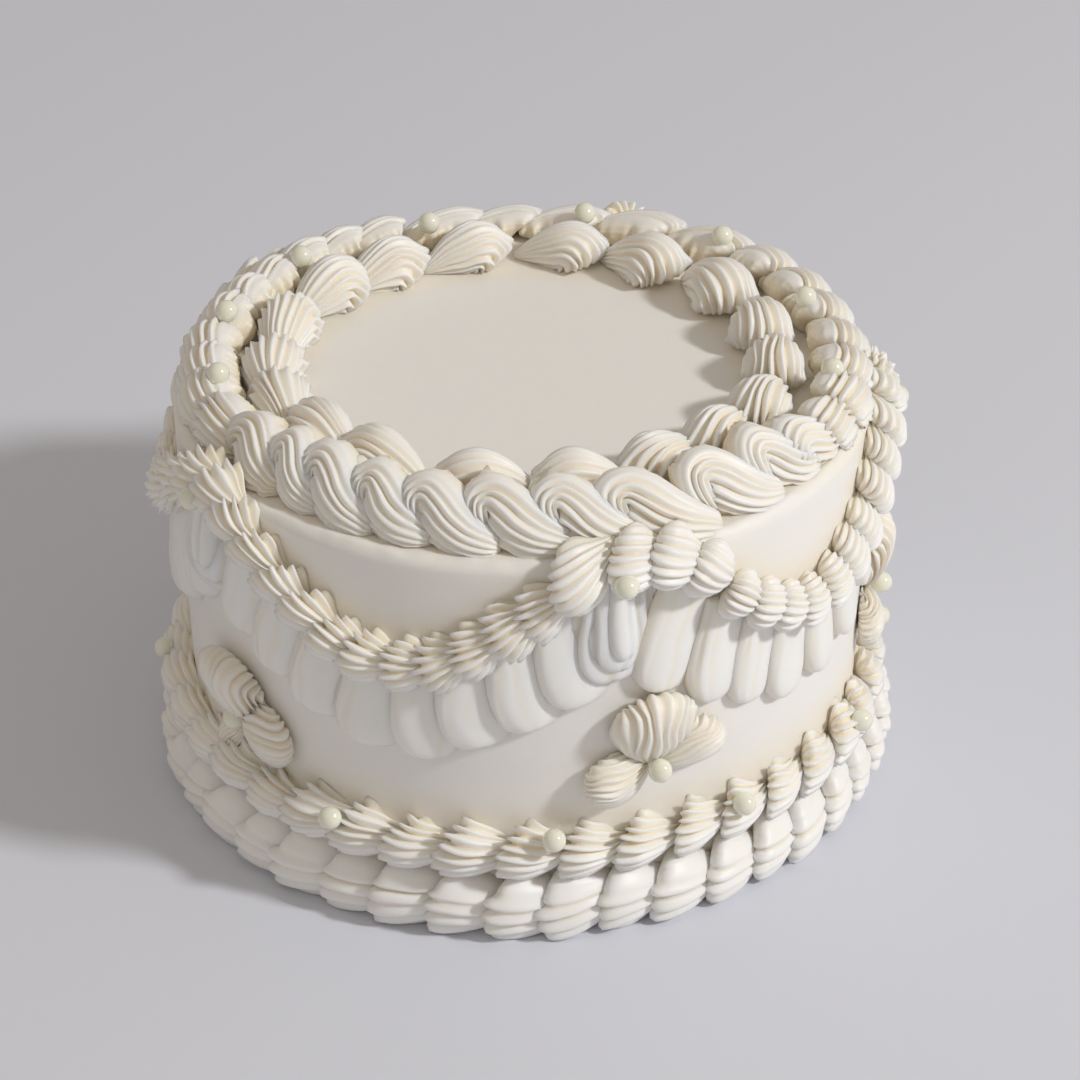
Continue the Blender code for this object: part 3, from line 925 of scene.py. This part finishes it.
def alongRope(start, stop, count):
    # azimuths that are evenly spaced along the hanging rope
    steps = 200
    azimuths = [start + (stop - start) * step / steps for step in range(steps + 1)]
    lengths = [0.0]
    for before, after in zip(azimuths, azimuths[1:]):
        run = cakeRadius * math.radians(after - before)
        lengths.append(lengths[-1] + math.hypot(run, ropeHeight(after) - ropeHeight(before)))
    places = []
    for number in range(count):
        wanted = lengths[-1] * (number + 0.5) / count
        index = next(i for i, length in enumerate(lengths) if length >= wanted)
        places.append(azimuths[index])
    return places


def ropeSpots(swag):
    # azimuth, height and whether it's one of the front peak's own shells
    start = swags["firstPeak"] + swagAngle * swag
    azimuths = alongRope(start, start + swagAngle, rope["shells"])
    front = [(azimuth, height * mm, True) for azimuth, height in rope["front"]]
    firstAzimuth, firstHeight, _ = front[0]
    above = front[-1][0] + rope["frontGap"]
    below = 360 + firstAzimuth - rope["frontGap"]
    spots = [(azimuth, ropeHeight(azimuth), False) for azimuth in azimuths if above < azimuth < below]
    if swag == 0:
        return front[1:] + spots
    if swag == swags["count"] - 1:
        return spots + [(360 + firstAzimuth, firstHeight, True)]
    return spots


def makeRope():
    look = rope
    nozzle, roundNozzle = makeNozzle(rope), makeNozzle(roundRope)
    for swag in range(swags["count"]):
        rnd = random.Random(50 + swag)
        shape = newPiece()
        start = swags["firstPeak"] + swagAngle * swag
        for azimuth, level, atFront in ropeSpots(swag):
            size = rnd.uniform(*look["sizes"]) * (look["frontSize"] if atFront else 1.0)
            fromPeak = min(azimuth - start, start + swagAngle - azimuth)
            turn = ropeSlope(azimuth) * min(1, fromPeak / look["peakSmoothing"])
            turn += rnd.uniform(*look["turns"])
            height = level + rnd.uniform(-look["wander"], look["wander"]) * mm
            place = onWall(azimuth, height, size, turn, look["lift"])
            if atFront or swag == 0:
                pipeShell(shape, roundNozzle, roundRope, place, rnd)
            else:
                pipeShell(shape, nozzle, rope, place, rnd)
        finishPiece(shape, f"swagRope{swag + 1}", pipedIcing, ["swag_rope"])


frill = {
    **starNozzle,
    "stroke": frillStroke,
    "petals": 8,
    "peakAngle": 13.0,
    "tuck": 1.5 * mm,  # the petals start this far below the rope's middle
    "wander": 0.8,  # in millimetres
    "turns": (-3, 3),
    "lean": 0.34,  # share of the rope's slope that the petals turn with it
    "wide": 1.12,
    "widths": (0.94, 1.05),
    "thicknesses": (0.9, 1.1),
    "overlap": 0.26,  # each petal's one side lies over the next petal
    "overlapFrom": 1.5 * mm,
    "foldPlace": -2.5,  # degrees from the peak to its folded petal
    "folds": ((0.0, 1.40, 1.0, 1.0), (0.9, 1.02, 0.90, 1.5), (1.7, 0.62, 0.78, 1.95)),
    "ridges": 10,
    "samples": 4,
    "depth": 0.045,
    "edge": 0.7,
    "ridgeUneven": 0.9,
    "rimDepth": 0.0,
    "sway": 0.35,
    "swell": 0.06,
    "rings": 28,
    "lowerSides": 4,
    "shown": (-108, 108),
}

peakPetal = {
    **frill,
    "ridges": 9,
    "samples": 6,
    "depth": 0.10,
    "sway": 0.25,
}


def overlapping(place, long, wide, thick):
    def lapped(x, y, z):
        lap = frill["overlap"] * (-y) * min(1, max(0, z / frill["overlapFrom"]))
        return place(x * long, y * wide, z * thick + lap)

    return lapped


def makeFrill():
    look = frill
    nozzle, foldNozzle = makeNozzle(look), makeNozzle(peakPetal)
    rnd = random.Random(77)
    shape = newPiece()
    strokeLength = frillStroke[-1][1] * mm
    pitch = (swagAngle - look["peakAngle"]) / look["petals"]
    for swag in range(swags["count"]):
        peak = swags["firstPeak"] + swagAngle * swag
        # where, how wide, how long and how thick, and whether it's a fold of the peak's petal
        folded = peak + look["foldPlace"]
        spots = [(folded + along, wide, long, thick, True) for along, wide, long, thick in look["folds"]]
        for petal in range(look["petals"]):
            azimuth = peak + look["peakAngle"] / 2 + pitch * (petal + 0.5)
            wide = look["wide"] * rnd.uniform(*look["widths"])
            spots.append((azimuth, wide, 1.0, rnd.uniform(*look["thicknesses"]), False))
        for azimuth, wide, share, thick, isFold in spots:
            top = ropeHeight(azimuth) - look["tuck"]
            bottom = frillBottom(azimuth) + rnd.uniform(-look["wander"], look["wander"]) * mm
            long = share * (top - bottom) / strokeLength
            lean = rnd.uniform(*look["turns"]) + (0 if isFold else ropeSlope(azimuth) * look["lean"])
            place = overlapping(onWall(azimuth, top, 1.0, -90 + lean), long, wide, thick)
            pipeShell(shape, foldNozzle if isFold else nozzle, peakPetal if isFold else look, place, rnd)
    finishPiece(shape, "swagFrill", pipedIcing, ["swag_ruffle"])


flower = {
    **starNozzle,
    "stroke": domeStroke,
    "strokeLength": 3.0,
    "strokeWidth": 2.08,
    "strokeReach": 2.0,  # from a petal's start to the flower's heart
    "hearts": (38.9, 39.0, 39.5, 40.0, 33.0),  # heights of the flowers' middles in millimetres
    "pastPeak": (4.4, -2.0, 2.0, 3.0, 3.4),  # degrees
    "petals": (  # degrees left of straight up, length, width and height in millimetres
        (6, 20.6, 18.4, 6.0),
        (98, 16.0, 12.6, 5.0),
        (-68, 17.5, 12.0, 4.6),
    ),
    "lastPetals": (
        (0, 19.0, 21.5, 6.6),
        (-78, 19.5, 15.0, 5.0),
        (150, 11.0, 8.0, 3.0),
    ),
    "drop": 1.4 * mm,  # of the petals below the pearl
    "turns": (-6, 6),
    "paintedShadeTint": 0.65,
    "ridges": 21,
    "depth": 0.19,
    "edge": 1.1,
    "ridgeUneven": 0.45,
    "teeth": 0.03,
    "sway": 0.35,
    "swell": 0.06,
    "rings": 30,
}


def makeFlowers():
    look = flower
    nozzle = makeNozzle(look)
    for number in range(swags["count"]):
        rnd = random.Random(90 + number)
        shape = newPiece()
        azimuth = swags["firstPeak"] + look["pastPeak"][number] + swagAngle * number
        heart = look["hearts"][number] * mm
        petals = look["lastPetals"] if number == swags["count"] - 1 else look["petals"]
        for lean, long, wide, tall in petals:
            # the stroke starts at the petal's head and ends at the flower's heart
            along, across = long / look["strokeLength"], wide / look["strokeWidth"]
            away = math.radians(90 + lean + rnd.uniform(*look["turns"]))
            reach = look["strokeReach"] * along * mm
            aside, rise = math.cos(away) * reach, math.sin(away) * reach
            place = onWall(
                azimuth + math.degrees(aside / cakeRadius), heart + rise - look["drop"], 1.0,
                math.degrees(away) + 180,
            )
            pipeShell(shape, nozzle, look, stretched(place, along, across, tall), rnd)
        finishPiece(shape, f"flower{number + 1}", pipedIcing, [f"flower_{number + 1}"])


pearls = {
    "radius": 2.5 * mm,
    "sizes": (0.96, 1.03),
    "top": (  # azimuth, radius and height in millimetres
        (3.7, 59.5, 97.1), (46.7, 59.5, 95.3), (77.8, 66.7, 98.2), (106.0, 64.4, 98.3),
        (136.3, 65.6, 98.1), (166.7, 62.5, 97.4), (200.5, 61.0, 97.0), (231.8, 63.0, 98.0),
        (259.2, 65.2, 98.6), (283.1, 65.3, 98.4), (326.3, 59.2, 96.3),
    ),
    "base": (  # azimuth and height in millimetres
        (4.3, 26.1), (34.3, 24.5), (64.3, 22.6), (94.3, 22.0), (124.3, 23.0), (154.3, 24.0),
        (184.3, 24.0), (214.3, 24.0), (244.3, 23.5), (274.3, 22.8), (330.2, 24.1),
    ),
    "baseRadius": 81.2 * mm,
    "peaks": (  # degrees past the peak, radius, and how far below the rope, in millimetres
        (-1.9, 83.2, 2.2), (-1, 80.6, 4.2), (-1, 80.6, 4.2), (-1, 80.6, 4.2), (-1, 80.6, 4.2),
    ),
    "heartRadii": (79.6, 79.6, 79.6, 79.6, 77.4),
}


def addPearl(shape, centre, rnd):
    grown = bmesh.ops.create_uvsphere(shape, u_segments=28, v_segments=16, radius=pearls["radius"])["verts"]
    bmesh.ops.scale(shape, vec=[rnd.uniform(*pearls["sizes"]) for _ in range(3)], verts=grown)
    turn = Matrix.Rotation(rnd.uniform(0, 6.28), 3, "X") @ Matrix.Rotation(rnd.uniform(0, 6.28), 3, "Z")
    bmesh.ops.rotate(shape, cent=(0, 0, 0), matrix=turn, verts=grown)
    bmesh.ops.translate(shape, vec=centre, verts=grown)


def makePearls():
    look = pearls
    rnd = random.Random(8)
    shape = newPiece()
    for azimuth, radius, height in look["top"]:
        addPearl(shape, polar(azimuth, radius * mm, height * mm), rnd)
    for azimuth, height in look["base"]:
        addPearl(shape, polar(azimuth, look["baseRadius"], height * mm), rnd)
    for number in range(swags["count"]):
        azimuth = swags["firstPeak"] + swagAngle * number
        past, out, below = look["peaks"][number]
        addPearl(shape, polar(azimuth + past, out * mm, ropeHeight(azimuth) - below * mm), rnd)
        azimuth += flower["pastPeak"][number]
        height = flower["hearts"][number]
        addPearl(shape, polar(azimuth, look["heartRadii"][number] * mm, height * mm), rnd)
    finishPiece(shape, "sugarPearls", sugarPearl, [])


makeBody()
makeOuterRing()
makeInnerRing()
makeRow(upperRow, "baseRowUpper", "base_border_upper", 61)
makeRow(lowerRow, "baseRowLower", "base_border_lower", 62)
makeRope()
makeFrill()
makeFlowers()
makePearls()


print("cake: setting up the studio")

studio = {
    "floorColour": (0.725, 0.750, 0.830, 1),
    "floorRoughness": 0.75,
    "floorSize": 3,
    "floorDrop": 0.2 * mm,
    "target": Vector((0, 0, 0.05)),  # what both lamps point at
    "skyColour": (1.0, 0.908, 0.815, 1),
    "skyStrength": 0.40,
    "cameraPlace": (0.00359, -0.57763, 0.41711),
    "cameraElevation": 32.645,
    "cameraRoll": -0.371,
    "lens": 102.78,
    "sensor": 36,
}

keyLamp = {
    "shape": "DISK",
    "azimuth": 67,
    "elevation": 37,
    "distance": 2.2,
    "size": 0.26,
    "power": 27.2,
    "colour": (1.0, 0.995, 0.985),
}

fillLamp = {
    "shape": "SQUARE",
    "place": (-1.3, -1.3, 1.5),
    "size": 1.6,
    "power": 1.2,
    "colour": (1.0, 0.95, 0.88),
}


def addToScene(name, data):
    thing = bpy.data.objects.new(name, data)
    bpy.context.scene.collection.objects.link(thing)
    return thing


def makeFloor():
    look = studio
    mesh = bpy.data.meshes.new("floor")
    sheet = bmesh.new()
    bmesh.ops.create_grid(sheet, x_segments=1, y_segments=1, size=look["floorSize"])
    bmesh.ops.translate(sheet, vec=(0, 0, -look["floorDrop"]), verts=sheet.verts)
    sheet.to_mesh(mesh)
    sheet.free()
    paint, _, shader = newMaterial("floorPaint")
    shader.inputs["Base Color"].default_value = look["floorColour"]
    shader.inputs["Roughness"].default_value = look["floorRoughness"]
    mesh.materials.append(paint)
    addToScene("floor", mesh)


def makeLamp(name, look, place):
    data = bpy.data.lights.new(name, "AREA")
    data.shape = look["shape"]
    data.size = look["size"]
    data.energy = look["power"]
    data.color = look["colour"]
    lamp = addToScene(name, data)
    lamp.location = place
    lamp.rotation_euler = (studio["target"] - lamp.location).to_track_quat("-Z", "Y").to_euler()


def makeSky():
    world = bpy.data.worlds.new("studio")
    world.use_nodes = True
    background = world.node_tree.nodes["Background"]
    background.inputs["Color"].default_value = studio["skyColour"]
    background.inputs["Strength"].default_value = studio["skyStrength"]
    bpy.context.scene.world = world
    bpy.context.scene.view_settings.view_transform = "Standard"


def makeCamera():
    look = studio
    data = bpy.data.cameras.new("camera")
    data.lens = look["lens"]
    data.sensor_width = look["sensor"]
    camera = addToScene("camera", data)
    pitch = Matrix.Rotation(math.radians(90 - look["cameraElevation"]), 4, "X")
    roll = Matrix.Rotation(math.radians(look["cameraRoll"]), 4, "Z")
    camera.matrix_world = Matrix.Translation(look["cameraPlace"]) @ pitch @ roll
    bpy.context.scene.camera = camera


def makeLamps():
    rise = math.radians(keyLamp["elevation"])
    flat, up = keyLamp["distance"] * math.cos(rise), keyLamp["distance"] * math.sin(rise)
    makeLamp("key", keyLamp, studio["target"] + polar(keyLamp["azimuth"], flat, up))
    makeLamp("fill", fillLamp, fillLamp["place"])


makeFloor()
makeLamps()
makeSky()
makeCamera()
